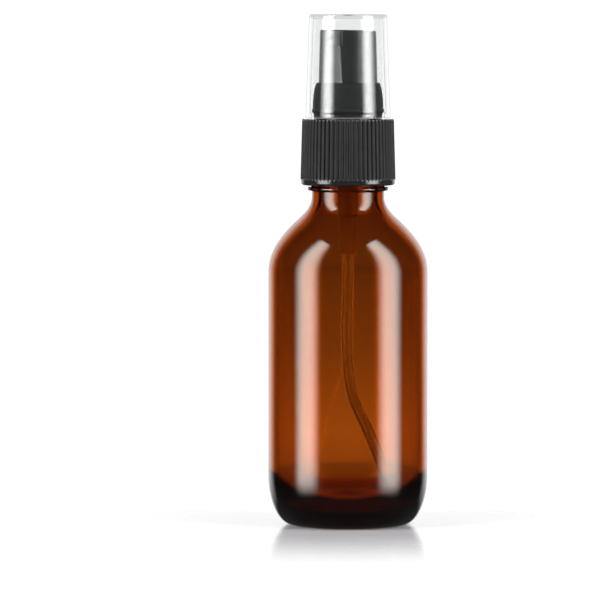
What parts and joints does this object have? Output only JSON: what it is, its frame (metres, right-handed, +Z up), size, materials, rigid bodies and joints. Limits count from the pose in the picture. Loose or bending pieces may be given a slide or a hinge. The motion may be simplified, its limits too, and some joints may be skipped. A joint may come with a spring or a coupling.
{
  "type": "pump oil bottle",
  "caption": "Round-shouldered amber glass bottle with a ribbed screw-on lotion pump, a curved dip tube and a clear pull-off overcap.",
  "frame": {"origin": "centre of the base, on the plane the bottle stands on", "axes": "+Z up the bottle's axis; the nozzle points between -X and -Y; the dip tube bends towards +X"},
  "size_m": [0.0388, 0.0388, 0.124],
  "materials": {
    "amber_glass": "polished",
    "clear_plastic": "polished",
    "black_plastic": "satin moulded",
    "natural_plastic": "moulded",
    "soft_plastic": "extruded",
    "foam": "closed-cell foam",
    "steel": "drawn"
  },
  "bodies": {
    "bottle": {"bottle": "amber_glass"},
    "pump_engine": {"pump_housing": "natural_plastic", "chaplet": "natural_plastic", "gasket": "foam", "dip_tube": "soft_plastic", "spring": "steel"},
    "closure": {"closure": "black_plastic"},
    "overcap": {"overcap": "clear_plastic"},
    "plunger": {"stem": "natural_plastic", "piston": "soft_plastic", "piston_seat": "natural_plastic"},
    "actuator": {"actuator": "black_plastic"},
    "inlet_ball": {"inlet_ball": "steel"}
  },
  "joints": [
    {"name": "pump_rise", "type": "slide", "parent": "bottle", "child": "pump_engine", "axis": [0, 0, 1], "range_m": [0, 0.00397]},
    {"name": "closure_turn", "type": "hinge", "parent": "pump_engine", "child": "closure", "pos_m": [0, 0, 0.09], "axis": [0, 0, 1], "range_deg": [0, 450]},
    {"name": "overcap_lift", "type": "slide", "parent": "closure", "child": "overcap", "axis": [0, 0, 1], "range_m": [0, 0.03]},
    {"name": "pump_stroke", "type": "slide", "parent": "pump_engine", "child": "plunger", "axis": [0, 0, -1], "range_m": [0, 0.0042], "stiffness_N_per_m": 1200, "springref_m": -0.004, "deforming": ["spring"]},
    {"name": "actuator_turn", "type": "hinge", "parent": "plunger", "child": "actuator", "pos_m": [0, 0, 0.11], "axis": [0, 0, 1], "continuous": true},
    {"name": "inlet_lift", "type": "slide", "parent": "pump_engine", "child": "inlet_ball", "axis": [0, 0, 1], "range_m": [0, 0.0008]}
  ],
  "couplings": [
    {"joint": "closure_turn", "follows": "pump_rise", "rad_per_m": 1979}
  ]
}
